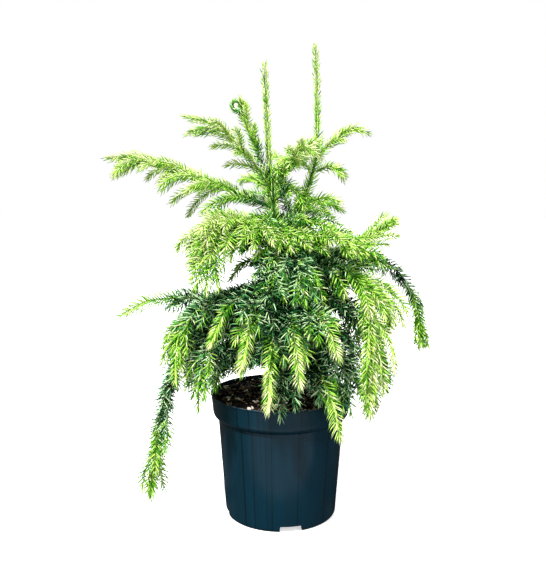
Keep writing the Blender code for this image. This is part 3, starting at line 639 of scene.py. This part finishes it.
# Each row has the limb's line (height on the stem, azimuth, reach, shoulder, swing, rise, tip), then its twigs: length,
# gap, length of the limb's bare tip, brightness, share that is fresh, weeping. The rest may be left out: the limb's
# bare share, how much longer its twigs get outwards, and the size of the needles. Lengths in this table are in mm
# brightness sets the tint of a limb's outer needles: limbs low down and deep in the crown get low values, partly for
# their old needles and partly as painted shade
limbs = [
    ("crown_curl", 453, 195, 39, 0.7, -0.1, 50, 96, 26, 10, 6, 0.78, 0.7, 0.1, 0, 0, 0.85),
    ("crown_left", 440, 201, 109, 0.4, 0.05, 70, 90, 46, 13, 42, 0.84, 1, 0.9, 0, 0, 0.92),
    ("crown_front", 448, 295, 87, 0.6, 0.2, 35, 50, 30, 15, 22, 0.9, 0.9, 1.1),
    ("crown_right", 478, 355, 62, 0.6, 0, 46, 36, 40, 9, 30, 0.82, 1, 0.8, 0, 0, 0.92),
    ("crown_back", 432, 80, 100, 0.6, 0, 50, 45, 40, 12, 25, 0.74, 0.7, 0.8),
    ("spur_right", 420, 345, 46, 0.6, 0.1, 14, 8, 24, 11, 28, 0.7, 0.8, 0.6),
    ("arch_inner", 425, 320, 50, 0.8, 0, 28, -2, 24, 11, 20, 0.6, 0.8, 1),
    ("high_left", 417, 180, 218, 0.58, -0.18, 46, 65, 74, 10, 50, 0.84, 0.9, 1.3, 0.25, -0.1, 0.96),
    ("high_back", 405, 92, 150, 0.6, 0.1, 60, 35, 58, 11, 30, 0.72, 0.8, 0.9, 0.25),
    ("high_back_right", 385, 50, 122, 0.6, 0.1, 55, 20, 58, 11, 30, 0.7, 0.7, 0.9, 0.25),
    ("shawl_left", 380, 218, 116, 0.86, -0.2, 44, -27, 60, 5.6, 30, 0.86, 1, 1.1, 0.25, 0, 1.3),
    ("shawl_front", 372, 229, 128, 0.84, -0.12, 30, -46, 40, 7.5, 20, 0.66, 0.6, 1, 0, 0, 1.3),
    ("mid_right", 350, 326, 118, 0.72, 0.14, 52, 10, 52, 7.5, 20, 0.72, 0.62, 0.8, 0.25),
    ("mid_back_left", 362, 132, 165, 0.7, 0, 55, -10, 46, 11, 30, 0.68, 0.7, 0.6, 0.25),
    ("high_right", 344, 6, 162, 0.65, 0.12, 4, 55, 56, 8, 24, 0.72, 0.62, 0.4, 0.3),
    ("far_right", 336, 18, 223.5, 0.91, 0.16, 64, -118, 30, 12, 12, 0.66, 0.26, 1.6, 0.3, 1.1, 1.06),
    ("fall_right", 330, 318, 151, 0.93, 0.36, 68, -162, 66, 12.5, 15, 0.81, 0.66, 2, 0.2, 0, 1.16),
    ("fall_right_outer", 312, 343, 148, 1.05, 0.08, 34, -50, 56, 10, 20, 0.78, 0.62, 1.45, 0.25, 0, 1.2),
    ("mid_back", 316, 72, 176, 0.8, -0.1, 55, -66, 56, 11, 30, 0.66, 0.6, 1, 0.25),
    ("inner_left", 340, 188, 58, 0.6, 0, 20, -12, 22, 14, 20, 0.72, 0.8, 0.8),
    ("inner_front", 350, 266, 100, 0.7, 0.05, 24, -40, 42, 10, 20, 0.5, 0.4, 0.8),
    ("inner_front_right", 368, 290, 105, 0.7, 0, 14, -60, 44, 10, 20, 0.48, 0.4, 0.8),
    ("reach_left", 286, 172, 220, 0.62, -0.12, 8, -18, 40, 11, 90, 0.68, 0.4, 1, 0.3, -1, 1.35),
    ("low_left_bright", 300, 216, 158, 1, -0.12, 20, -92, 44, 9.5, 40, 0.72, 0.36, 1.2, 0, -0.4, 1.08),
    ("trail_left", 288, 197, 178, 0.8, -0.12, 30, -244, 50, 11, 20, 0.64, 0.3, 1, 0.25, 0.6, 1.12),
    ("front_left", 306, 235, 140, 0.77, 0.11, 24, -45, 40, 11, 55, 0.8, 0.3, 1, 0, -0.5, 1.12),
    ("front_mid_left", 326, 254, 154, 0.81, 0.1, 6, -88, 44, 11, 64, 0.9, 0.33, 1.2, 0, -0.6, 1.2),
    ("front_long", 274, 264, 140, 0.92, 0.04, 44, -85, 36, 12, 72, 0.95, 0.33, 1.2, 0, -0.6, 1.24),
    ("front_mid", 300, 279, 151, 0.82, -0.05, 16, -78, 42, 11, 62, 0.92, 0.33, 1.2, 0, -0.6, 1.22),
    ("front_mid_right", 286, 295, 157, 0.82, -0.08, 26, -33, 44, 11, 52, 0.88, 0.33, 1.2, 0, -0.5, 1.2),
    ("rim_right", 262, 301, 137, 0.73, -0.04, -14, -113, 32, 14, 60, 0.86, 0.33, 1.4, 0, -0.2, 1.28),
    ("low_back_left", 282, 142, 175, 0.8, 0.1, 30, -80, 54, 10.5, 30, 0.56, 0.5, 1),
    ("low_back", 266, 98, 150, 0.8, 0, 30, -75, 50, 10.5, 30, 0.54, 0.5, 1),
    ("low_back_right", 282, 38, 155, 0.8, 0, 30, -85, 50, 10.5, 30, 0.54, 0.5, 1),
    ("low_right_dark", 294, 358, 112, 0.6, 0, -10, -82, 44, 10, 20, 0.3, 0.3, 0.8),
    ("low_right", 258, 328, 121, 0.61, 0.06, -8, -70, 42, 10, 25, 0.5, 0.3, 1, 0, 0, 1.1),
    ("low_left_inner", 268, 212, 129, 0.69, -0.1, -10, -82, 46, 10, 25, 0.5, 0.3, 0.6),
    ("low_left_rim", 254, 178, 90, 0.7, 0, -2, -80, 40, 10, 25, 0.44, 0.3, 0.5),
    ("crown_mid", 430, 332, 62, 0.5, 0, 60, 70, 34, 9, 12, 0.8, 1, 1.4, 0, 0, 0.9),
    ("crown_inner", 462, 215, 48, 0.6, 0.1, 30, 12, 26, 10, 12, 0.7, 1, 1.2, 0, 0, 0.9),
    ("under_left_high", 308, 200, 150, 0.8, -0.1, -4, -80, 34, 9.5, 30, 0.56, 0.3, 1, 0, -0.2),
    ("under_left_back", 292, 184, 138, 0.8, 0, 18, -75, 44, 9.5, 30, 0.52, 0.3, 0.6, 0, -0.2),
    ("under_left_low", 276, 224, 140, 0.9, -0.1, 22, -98, 44, 9.5, 30, 0.62, 0.3, 0.6, 0, -0.2),
    ("under_front", 262, 270, 112, 0.8, 0, 12, -90, 40, 10, 30, 0.34, 0.3, 1, 0, -0.2, 1.1),
    ("under_right", 272, 314, 126, 0.8, 0.1, 12, -100, 42, 9.5, 30, 0.48, 0.3, 1, 0, -0.2, 1.1),
    ("under_right_high", 300, 338, 150, 0.8, 0.1, 22, -110, 44, 9.5, 30, 0.52, 0.3, 1, 0, -0.2),
    ("under_back_right", 290, 62, 140, 0.8, 0, 22, -90, 46, 10, 30, 0.5, 0.35, 1, 0, -0.2),
    ("under_front_left", 262, 240, 88, 0.7, 0, 4, -44, 38, 11, 15, 0.34, 0.3, 0.4, 0, -0.2),
    ("under_back_low", 252, 146, 84, 0.7, 0, 4, -58, 38, 11, 15, 0.34, 0.3, 0.4, 0, -0.2),
    ("rim_dark_left", 246, 280, 102, 0.7, 0, 0, -64, 34, 12, 20, 0.34, 0.25, 0.4, 0, -0.2, 1.15),
    ("rim_dark_right", 240, 299, 112, 0.7, 0.05, -4, -62, 36, 12, 20, 0.36, 0.25, 0.4, 0, -0.2, 1.2),
    ("shelf_right", 340, 350, 140, 0.7, 0.1, 16, 4, 48, 9, 20, 0.52, 0.5, 1),
    ("under_left_mid", 286, 206, 130, 0.8, 0, 14, -82, 42, 10, 20, 0.44, 0.3, 0.8, 0, -0.2, 1.1),
    ("crown_spur", 462, 350, 38, 0.7, 0.1, 18, -2, 26, 8, 12, 0.76, 1, 1.3, 0, 0, 0.9),
    ("under_back_left", 296, 116, 145, 0.8, 0, 22, -90, 46, 10, 30, 0.5, 0.35, 1, 0, -0.2),
]
limbKeys = ("name", "height", "azimuth", "reach", "shoulder", "swing", "rise", "tip")
limbKeys += ("length", "gap", "clear", "bright", "fresh", "weep", "bough", "grow", "needle")
limbs = [{"bough": 0, "grow": 0, "needle": 1, **dict(zip(limbKeys, row))} for row in limbs]
for limb in limbs:
    for key in ("height", "reach", "rise", "tip", "length", "gap", "clear"):
        limb[key] /= 1000
onSecondStem = ("crown_right", "spur_right", "crown_inner", "crown_spur")
up = np.array([0.0, 0.0, 1.0])


def smooth(share):
    share = np.clip(share, 0.0, 1.0)
    return share * share * (3 - 2 * share)


def unit(vectors):
    return vectors / np.linalg.norm(vectors, axis=-1, keepdims=True)


def trunkPoint(height):
    above = height - stems["trunkFoot"]
    return np.array([stems["footX"] - stems["lean"] * above - stems["bend"] * above**2, 0.0, height])


def outFrom(azimuth):
    return np.array([math.cos(azimuth), math.sin(azimuth), 0.0])


def trunkRadius(height):
    above = height - stems["trunkFoot"]
    taper = stems["trunkRadius"] + (stems["trunkTip"] - stems["trunkRadius"]) * above / stems["trunkHeight"]
    return taper + stems["flare"] * math.exp(-above / stems["flareHeight"])


def arc(start, control, end, steps):
    share = np.linspace(0, 1, steps + 1)[:, None]
    return start * (1 - share) ** 2 + control * 2 * share * (1 - share) + end * share**2


def secondStemLine():
    start = trunkPoint(stems["secondHeight"])
    control = start + np.array([stems["secondReach"], -0.010, stems["secondRise"] * 0.6])
    end = start + np.array([stems["secondReach"], 0.0, stems["secondRise"]])
    return arc(start, control, end, 60)


def limbLine(limb):
    start = trunkPoint(limb["height"])
    if limb["name"] in onSecondStem:
        line = secondStemLine()
        start = line[np.argmin(np.abs(line[:, 2] - limb["height"]))]
    out = outFrom(math.radians(limb["azimuth"]))
    side = np.cross(up, out)
    control = start + limb["reach"] * (limb["shoulder"] * out + limb["swing"] * side) + limb["rise"] * up
    end = start + limb["reach"] * out + limb["tip"] * up
    line = arc(start, control, end, 48)
    share = np.linspace(0, 1, 49)[:, None]
    hump = smooth(share / stems["nodFrom"]) * (1 - smooth((share - stems["nodFrom"]) / stems["nodPart"]))
    return line + up * hump * stems["nod"] * limb["reach"] * min(1.0, limb["weep"])


def lengthsOf(line):
    return np.concatenate([[0.0], np.cumsum(np.linalg.norm(np.diff(line, axis=0), axis=1))])


def sampleLine(line, distances):
    # places and directions at distances along a line
    run = lengthsOf(line)
    distances = np.atleast_1d(distances)
    index = np.clip(np.searchsorted(run, distances, side="right") - 1, 0, len(line) - 2)
    step = line[index + 1] - line[index]
    share = (distances - run[index]) / (run[index + 1] - run[index])
    return line[index] + step * share[:, None], unit(step)


def partOf(line, start, end, steps):
    return sampleLine(line, np.linspace(start, end, steps + 1))[0]


def leaderLine(stem, length):
    direction = unit(stem[-1] - stem[-2])
    end = stem[-1] + (direction * 0.3 + np.array([-0.045, 0.0, 1.0]) * 0.7) * length
    return arc(stem[-1], stem[-1] + direction * length / 2, end, 24)


# Bark

def barkTube(name, line, radii, sides, relief):
    # a curve with a round bevel, made a mesh, with its surface pushed in and out in upright strips
    curve = bpy.data.curves.new(name, "CURVE")
    curve.dimensions = "3D"
    curve.bevel_depth = 1.0
    curve.bevel_resolution = sides // 2 - 2
    curve.use_fill_caps = True
    spline = curve.splines.new("POLY")
    spline.points.add(len(line) - 1)
    for point, co, radius in zip(spline.points, line, radii):
        point.co = (*co, 1.0)
        point.radius = radius
    tube = bpy.data.objects.new(name, curve)
    bpy.context.scene.collection.objects.link(tube)
    makeActive(tube)
    bpy.ops.object.convert(target="MESH")
    tube = bpy.context.object
    editAll(tube)
    bpy.ops.mesh.remove_doubles(threshold=0.00001)
    closeMesh()
    normals = [vert.normal.copy() for vert in tube.data.vertices]
    for vert, normal in zip(tube.data.vertices, normals):
        spot = Vector((vert.co.x * 520, vert.co.y * 520, vert.co.z * 90))
        ridge = 1 - abs(noise.noise(spot)) * 2.4
        vert.co += normal * relief * (ridge - 0.6 + 0.5 * noise.noise(spot * 3.1))
    makeActive(tube)
    bpy.ops.object.shade_smooth()
    return tube


def makeBark():
    # brown, stringy bark that turns to green young wood higher up
    material, tree, shader = newMaterial("barkFinish", Specular_IOR_Level=0.25)
    (brownDeep, brown), (greenDeep, green) = stems["brown"], stems["green"]
    strips = placeGroup(tree, mottle, Color_A=brownDeep, Color_B=brown, Scale=520.0, Stretch=0.16, Contrast=0.18)
    young = placeGroup(tree, mottle, Color_A=greenDeep, Color_B=green, Scale=420.0, Stretch=0.3, Contrast=0.20)
    split = addNode(tree, "SeparateXYZ", addNode(tree, "TexCoord")["Object"])
    turning = addNode(tree, "MapRange", Value=split["Z"], From_Min=stems["greenFrom"], From_Max=stems["greenFull"])
    blend = addNode(tree, "Mix", mode="RGBA", Factor=turning["Result"], A=strips["Color"], B=young["Color"])
    dust = placeGroup(tree, settledDust, Color=blend["Result"], **stems["dust"])
    setInputs(tree, shader, Base_Color=dust["Color"], Roughness=dust["Roughness"])
    addBump(tree, shader, strips["Mask"], 0.7, 0.0006)
    return material


bark = makeBark()
trunkHeights = stems["trunkFoot"] + stems["trunkHeight"] * np.linspace(0, 1, 150) ** 1.15
trunkLine = np.array([trunkPoint(height) for height in trunkHeights])
trunkRadii = [trunkRadius(height) for height in trunkHeights]
addToPart(barkTube("trunkBark", trunkLine, trunkRadii, 26, stems["relief"]), bark, "bark", "trunk")

secondLine = secondStemLine()
secondRadii = np.linspace(stems["secondRadius"], stems["secondTip"], len(secondLine))
addToPart(barkTube("secondStemBark", secondLine, secondRadii, 14, stems["relief"] * 0.6), bark, "bark", "second_stem")

boughTubes = []
for limb in limbs:
    limb["line"] = limbLine(limb)
    limb["whole"] = lengthsOf(limb["line"])[-1]
    if limb["bough"]:
        radius = stems["boughRadius"] * (0.7 + 0.3 * min(1.0, limb["whole"] / 0.25))
        line = partOf(limb["line"], 0.002, limb["whole"] * limb["bough"], 26)
        radii = np.linspace(radius, stems["boughTip"], 27)
        boughTubes.append(barkTube("bough_" + limb["name"] + "_bark", line, radii, 12, stems["relief"] * 0.6))
clearSelection()
for tube in boughTubes:
    tube.select_set(True)
bpy.context.view_layer.objects.active = boughTubes[0]
bpy.ops.object.join()
boughs = bpy.context.object
boughs.name = "boughBark"
addToPart(boughs, bark, "bark", *[name for name in nodeNames if name.startswith("bough_")])
print("bark made")


# Foliage

foliage = {
    "seed": 21,
    "spread": 46.0,
    "needleLength": 0.0137,
    "needleWidth": 0.00080,
    "oldPerMetre": 600,
    "youngPerMetre": 1120,
    "oldAngle": 58.0,
    "youngAngle": 33.0,
    "tipAngle": 14.0,
    "tipClose": 0.013,
    "toneNoise": 0.13,
    "closedAngle": (25.0, 6.0),
    "shootNoise": 0.05,
    "forked": 0.42,
    "deadShare": 0.03,
    # this share of the old needles catches the light, and this share of the fresh ones stays dull
    "pale": {"share": 0.22, "below": 0.55, "lift": 0.44},
    "dull": {"share": 0.16, "above": 0.60, "drop": 0.30},
    "sag": 0.04,
    "droop": 0.22,
    "shortest": 0.014,
    "twigRadius": 0.0009,
    "subTwigRadius": 0.0007,
    "twigTip": 0.0003,
    # a limb whose bare tip is longer than this ends in a lone spear, which is fuller and has darker twigs
    "spearClear": 0.0505,
    "spearDensity": 1.4,
    "spearShade": 0.20,
    "limbDensity": 1.1,
    "inner": {"count": 84, "foot": 0.198, "span": 0.207, "length": (0.050, 0.095), "skyGap": (0.305, 0.372)},
    # the old tints: Night and Deep are near black and paint the shade deep in the crown as well as the dark of old
    # needles. Mint is mostly reached through the pale share, a painted highlight
    "oldTints": [
        ("needlesNight", (0.0010, 0.011, 0.003)),
        ("needlesDeep", (0.004, 0.042, 0.012)),
        ("needlesTeal", (0.020, 0.130, 0.042)),
        ("needlesSage", (0.140, 0.420, 0.130)),
        ("needlesMint", (0.570, 0.840, 0.430)),
    ],
    "youngTints": [
        ("needlesLeaf", (0.036, 0.225, 0.010)),
        ("needlesFresh", (0.165, 0.480, 0.026)),
        ("needlesLime", (0.370, 0.720, 0.080)),
        ("needlesYellow", (0.630, 0.880, 0.185)),
        ("needlesCream", (0.860, 0.950, 0.480)),
    ],
    "deadColor": (0.12, 0.088, 0.052),
    "twigColors": {"twigsOld": (0.060, 0.055, 0.025), "twigsYoung": (0.27, 0.47, 0.06)},
    "pieceLimit": 12000,
}
chance = np.random.default_rng(foliage["seed"])
shoots = []


def addShoot(line, radius, tone, toneTip, **others):
    # closed needles press along the shoot, runsOn has no tip of its own, off stands the needles off its middle, mix is
    # how much their tones differ, and core has wood but no needles
    shoot = {"line": line, "radius": radius, "tone": tone, "toneTip": toneTip, "size": 1.0, "density": 1.0}
    shoot.update({"closed": False, "dead": False, "core": False, "runsOn": False, "off": 0.0, "mix": 1.0})
    shoot.update(others)
    shoots.append(shoot)


def twigLine(stem, distance, side, spread, length, weep, lift):
    # a side twig leaves at an angle, leans on towards the stem's own way, and bends down
    place, direction = sampleLine(stem, distance)
    place, direction = place[0], direction[0]
    level = np.cross(direction, up)
    if np.linalg.norm(level) < 0.25:
        level = np.array([direction[1] + 0.3, 0.3 - direction[0], 0.0])
    level = unit(level)
    normal = unit(np.cross(level, direction))
    heading = unit(direction * math.cos(spread) - level * side * math.sin(spread) + normal * lift)
    length = max(length, foliage["shortest"])
    steps = 9
    points = [place]
    for i in range(steps):
        share = (i + 1) / steps
        heading = unit(heading + direction * 0.05 - up * weep * foliage["droop"] * share)
        points.append(points[-1] + heading * length / steps)
    return np.array(points)


def limbTone(limb, share):
    # dark and old near the trunk, fresh over the outer part of the limb. The dark near the trunk is partly the old
    # needles' own colour and partly painted shade inside the crown
    foot = 0.16 + 0.14 * limb["bright"]
    return foot + (limb["bright"] - foot) * float(smooth((share - (1 - limb["fresh"]) + 0.12) / 0.30))


def isSpear(limb):
    return limb["clear"] > foliage["spearClear"]


def growTwigs(stem, limb):
    whole = lengthsOf(stem)[-1]
    distance = 0.004 + limb["gap"] * chance.random()
    side = 1 if chance.random() < 0.5 else -1
    while distance < whole - limb["clear"]:
        share = distance / whole
        length = limb["length"] * (0.90 + 0.8 * share - 0.9 * share**2 + limb["grow"] * (share - 0.4))
        length = min(length * chance.uniform(0.78, 1.18), (whole - distance) * 0.95 + 0.006)
        spread = foliage["spread"] - 18 * max(0.0, limb["weep"] - 1.0)
        spread = math.radians(spread + chance.uniform(-10, 10) - 10 * share)
        line = twigLine(stem, distance, side, spread, length, limb["weep"], chance.normal(0.0, 0.24))
        shift = chance.normal(0, foliage["shootNoise"]) - (foliage["spearShade"] if isSpear(limb) else 0.0)
        tone = limbTone(limb, share) - 0.05 + shift
        tip = max(tone + 0.05, limbTone(limb, min(1.0, share + length / limb["whole"])) + shift)
        dead = tip < 0.5 and line[-1][2] < 0.27 and chance.random() < foliage["deadShare"]
        addShoot(line, foliage["twigRadius"], tone, tip, dead=dead, size=limb["needle"])
        growSubTwigs(line, length, limb, tone, tip)
        side = -side
        distance += limb["gap"] * chance.uniform(0.75, 1.3)


def growSubTwigs(stem, whole, limb, footTone, tip):
    # old wood forks again, young shoots stay single
    if whole < 0.034:
        return
    forked = foliage["forked"] * (1 - float(smooth((tip - 0.35) / 0.25)))
    distance = 0.008 + 0.006 * chance.random()
    side = 1 if chance.random() < 0.5 else -1
    while distance < whole - 0.020:
        share = distance / whole
        length = min(whole * 0.46, whole - distance) * chance.uniform(0.75, 1.0)
        if chance.random() < forked:
            spread = math.radians(40 + chance.uniform(-8, 8))
            line = twigLine(stem, distance, side, spread, length, limb["weep"], chance.normal(0.0, 0.25))
            tone = mixed(footTone, tip, share)
            addShoot(line, foliage["subTwigRadius"], tone, tip, size=0.94 * limb["needle"])
        side = -side
        distance += 0.0105 * chance.uniform(0.8, 1.3)


def growLimbs():
    pieces = 4  # the tone follows the limb in steps along its length
    for limb in limbs:
        line, whole, bough, size = limb["line"], limb["whole"], limb["bough"], limb["needle"]
        start = whole * bough
        if bough:  # old needles and twigs along the bough
            tones = (limbTone(limb, 0.0) - 0.05, limbTone(limb, bough))
            addShoot(partOf(line, 0.006, start, 16), 0.0, *tones, off=0.0016, runsOn=True, size=size)
        stem = partOf(line, max(start, 0.006), whole, 40)
        density = foliage["spearDensity" if isSpear(limb) else "limbDensity"]
        for i in range(pieces):
            shares = (i / pieces, (i + 1) / pieces)
            ends = [(whole - start) * share * 0.999 for share in shares]
            tones = [limbTone(limb, mixed(bough, 1, share)) for share in shares]
            addShoot(partOf(stem, *ends, 12), 0.0, *tones, runsOn=i < pieces - 1, size=size, density=density)
        addShoot(stem, stems["coreRadius"], 0.2, limb["bright"], core=True)
        growTwigs(partOf(line, 0.015, whole, 48), limb)


def growTops():
    # the two leading shoots, with short needles pressed along them, and the needled upper stems below them
    trunkTop = leaderLine(trunkLine, stems["leader"])
    addShoot(trunkTop, stems["trunkTip"] * 0.8, 0.80, 0.84, size=0.74, density=1.25, closed=True, off=0.0011, mix=0.35)
    secondTop = leaderLine(secondLine, stems["secondLeader"])
    addShoot(secondTop, stems["secondTip"] * 0.8, 0.68, 0.84, size=0.68, density=1.1, closed=True, off=0.0011, mix=0.6)
    # the small curled tip on crown_curl winds inwards
    curled = next(limb for limb in limbs if limb["name"] == "crown_curl")["line"]
    turns = np.linspace(0, 1, 26)[:, None]
    wind = 0.9 - turns * math.tau * 1.05
    circle = np.concatenate([np.cos(wind), 0.3 * np.cos(wind), np.sin(wind)], axis=1)
    knob = curled[-1] + np.array([-0.006, 0.0, -0.001]) + (0.0085 - 0.0045 * turns) * circle
    addShoot(knob, 0.0010, 0.36, 0.52, size=0.55, density=2.4, closed=True, mix=0.8)
    upperTrunk = trunkLine[trunkLine[:, 2] > 0.365]
    addShoot(upperTrunk, 0.0, 0.50, 0.82, size=1.0, density=1.5, runsOn=True, off=0.0022)
    addShoot(secondLine[6:], 0.0, 0.48, 0.80, size=0.95, density=1.3, runsOn=True, off=0.0018)


def growInner():
    # short old twigs all round the trunk inside the crown
    inner = foliage["inner"]
    goldenTurn = 2.39996
    for i in range(inner["count"]):
        height = inner["foot"] + inner["span"] * i / inner["count"]
        out = outFrom(i * goldenTurn)
        start = trunkPoint(height)
        length = chance.uniform(*inner["length"])
        if inner["skyGap"][0] < height < inner["skyGap"][1] and out[0] < -0.3:  # the sky shows through here
            length *= 0.4
        end = start + out * length + up * length * chance.uniform(-0.45, 0.20)
        control = start + out * length * 0.6 + up * 0.012
        line = arc(start, control, end, 12)
        # the inner twigs are dark, partly for their old needles and partly as painted shade inside the crown, and
        # lighter from 0.335 m up
        tone = chance.uniform(0.14, 0.38) + 0.24 * float(smooth((height - 0.335) / 0.05))
        dead = height < 0.30 and chance.random() < 0.25
        whole = lengthsOf(line)[-1]
        addShoot(partOf(line, 0.006, whole, 12), 0.0010, tone, tone + 0.16, density=0.8, dead=dead)
        if not dead:
            twigs = {"length": length * 0.55, "gap": 0.016, "clear": 0.02, "bright": tone + 0.20, "fresh": 0.6}
            growTwigs(line, {**twigs, "weep": 0.5, "grow": 0.0, "needle": 1.0, "whole": whole})


growLimbs()
growTops()
growInner()
total = sum(lengthsOf(shoot["line"])[-1] for shoot in shoots)
print("shoots", len(shoots), "in all", round(total, 1), "m")


def modelNeedle():
    # a three-sided awl: a small face drawn up in steps and merged at its point
    clearSelection()
    bpy.ops.mesh.primitive_circle_add(vertices=3, radius=1.0, fill_type="NGON", location=(0, 0, 0))
    needle = bpy.context.object
    editAll(needle)
    for rise, size in ((0.62, 0.92), (0.38, 0.0)):
        bpy.ops.mesh.extrude_region_move(TRANSFORM_OT_translate={"value": (0.0, 0.0, rise)})
        if size:
            bpy.ops.transform.resize(value=(size, size, 1.0), center_override=(0, 0, 0))
    bpy.ops.mesh.merge(type="CENTER")
    closeMesh()
    return readShape(needle)


def needlesOf(shoot):
    # the root, heading, bow, length, width and tint of each needle along a shoot
    line = shoot["line"]
    whole = lengthsOf(line)[-1]
    crowd = mixed(foliage["oldPerMetre"], foliage["youngPerMetre"], min(1.0, shoot["toneTip"]))
    count = max(6, int(whole * crowd * shoot["density"]))
    along = (np.arange(count) + chance.uniform(-0.3, 0.3, count) + 0.3) / count * whole
    along = np.clip(along, 0.0, whole * 0.9995)
    place, direction = sampleLine(line, along)
    chord = unit(line[-1] - line[0])
    reference = np.cross(chord, up)
    if np.linalg.norm(reference) < 0.25:
        reference = np.array([1.0, 0.0, 0.0])
    reference = unit(reference)
    across = unit(reference - direction * (direction @ reference)[:, None])
    other = np.cross(direction, across)
    # five ranks of needles that wind slowly round the shoot
    turn = np.arange(count) * math.tau * 0.4 + along * 9 + chance.normal(0, 0.10, count) + chance.uniform(0, math.tau)
    radial = across * np.cos(turn)[:, None] + other * np.sin(turn)[:, None]
    share = along / whole
    tone = mixed(shoot["tone"], shoot["toneTip"], share)
    toTip = np.full(count, 1.0) if shoot["runsOn"] else whole - along
    opened = smooth(toTip / foliage["tipClose"])
    wide = mixed(foliage["oldAngle"], foliage["youngAngle"], np.clip(tone, 0, 1))
    if shoot["closed"]:
        wide = chance.normal(*foliage["closedAngle"], count)
    wide = wide + 26 * max(0.0, shoot["size"] - 1.0)
    angle = np.radians(mixed(foliage["tipAngle"], wide, opened) + chance.normal(0, 4.0, count))
    ahead, outwards = np.cos(angle)[:, None], np.sin(angle)[:, None]
    heading = direction * ahead + radial * outwards
    bow = radial * ahead - direction * outwards
    length = foliage["needleLength"] * (1.10 - 0.16 * np.clip(tone, 0, 1)) * shoot["size"]
    length = length * (0.75 + 0.25 * opened) * chance.uniform(0.85, 1.12, count)
    width = foliage["needleWidth"] * (0.85 + 0.15 * opened)
    young = smooth((tone - 0.36) / 0.16) > chance.random(count)
    uneven = foliage["toneNoise"] * shoot["mix"] * np.where(young, 1.0, 1.5)
    # painted light and shade: needles on the upper side of a shoot get lighter tints and those underneath get darker
    # ones. The tone also rises a little where the needles close at the tip, and it differs at random
    tone = tone + 0.05 * (1 - opened) + 0.08 * radial[:, 2] + chance.normal(0, 1.0, count) * uneven
    lucky = chance.random(count)
    pale, dull = foliage["pale"], foliage["dull"]
    lift = np.where((tone < pale["below"]) & (lucky < pale["share"]), pale["lift"], 0.0)
    drop = np.where((tone > dull["above"]) & (lucky < dull["share"]), dull["drop"], 0.0)
    tone = tone + lift - drop
    # each age has five tints, and the tone picks one
    youngShade = len(foliage["oldTints"]) + np.clip((tone - 0.30) / 0.135, 0, 4.99)
    shade = np.where(young, youngShade, np.clip(tone / 0.125, 0, 4.99)).astype(int)
    root = place + radial * (shoot["radius"] * 0.4 + shoot["off"])
    return root, heading, bow, length, width, shade


def plantNeedles():
    verts, triangles = modelNeedle()
    across, aside, rise = verts.T
    sag = foliage["sag"] * 4 * rise * (1 - rise)
    leafy = [shoot for shoot in shoots if not shoot["core"]]
    gathered = [needlesOf(shoot) for shoot in leafy]
    dead = np.concatenate([np.full(len(g[0]), shoot["dead"]) for g, shoot in zip(gathered, leafy)])
    root, heading, bow, length, width, shade = (np.concatenate(column) for column in zip(*gathered))
    side = np.cross(heading, bow)
    names = [*foliage["oldTints"], *foliage["youngTints"], ("needlesDead", foliage["deadColor"])]
    shade[dead] = len(names) - 1
    print("needles", len(root), "faces each", len(triangles), "by tint", np.bincount(shade).tolist())
    for index, (name, color) in enumerate(names):
        chosen = np.flatnonzero(shade == index)
        if len(chosen) == 0:
            continue
        look = {"Base_Color": (*color, 1), "Roughness": 0.45, "Specular_IOR_Level": 0.10}
        material = newMaterial(name + "Finish", **look)[0]
        for part, first in enumerate(range(0, len(chosen), foliage["pieceLimit"])):
            some = chosen[first:first + foliage["pieceLimit"]]
            tall, thick = length[some][:, None], width[some][:, None]
            points = root[some][:, None] + heading[some][:, None] * (rise * tall)[:, :, None]
            points = points + bow[some][:, None] * (across * thick + sag * tall)[:, :, None]
            points = points + side[some][:, None] * (aside * thick)[:, :, None]
            faces = triangles + (np.arange(len(some)) * len(verts))[:, None, None]
            piece = meshFromArrays(f"{name}{part + 1}", points.reshape(-1, 3), faces.reshape(-1, 3))
            piece.data.shade_smooth()
            addToPart(piece, material, "foliage")


def makeTwigWood():
    # the thin wood inside each shoot, brown where it is old and green where it is young
    sides = 4
    turn = np.arange(sides)[None, :, None] * math.tau / sides
    kinds = {name: ([], []) for name in foliage["twigColors"]}
    for shoot in shoots:
        if shoot["radius"] == 0.0:
            continue
        line = shoot["line"]
        line = partOf(line, 0.0, lengthsOf(line)[-1], max(4, int(len(line) * 0.6)))
        direction = unit(np.gradient(line, axis=0))
        across = unit(np.cross(direction, np.array([0.31, 0.87, 0.38])))
        other = np.cross(direction, across)
        radii = np.linspace(shoot["radius"], foliage["twigTip"], len(line))[:, None, None]
        ring = across[:, None] * np.cos(turn) + other[:, None] * np.sin(turn)
        # four-sided faces round each step of the line, and one at either end
        corner = np.arange((len(line) - 1) * sides).reshape(-1, sides)
        beside = np.roll(corner, -1, axis=1)
        around = np.stack([corner, beside, beside + sides, corner + sides], axis=-1).reshape(-1, 4)
        quads = np.concatenate([around, [corner[-1] + sides, corner[0][::-1]]])
        young = (shoot["tone"] + shoot["toneTip"]) / 2 > 0.38 and not shoot["dead"]
        verts, faces = kinds["twigsYoung" if young else "twigsOld"]
        faces.append(quads + sum(len(v) for v in verts))
        verts.append((line[:, None] + ring * radii).reshape(-1, 3))
    foliageNodes = [name for name in nodeNames if name.startswith("foliage_")]
    for name, (verts, faces) in kinds.items():
        wood = meshFromArrays(name, np.concatenate(verts), np.concatenate(faces))
        wood.data.shade_smooth()
        material = newMaterial(name + "Finish", Base_Color=(*foliage["twigColors"][name], 1), Roughness=0.7)[0]
        addToPart(wood, material, "foliage", *(foliageNodes if name == "twigsOld" else []))
        print(name, "faces", len(wood.data.polygons))


plantNeedles()
makeTwigWood()
print("foliage made")

clearSelection()
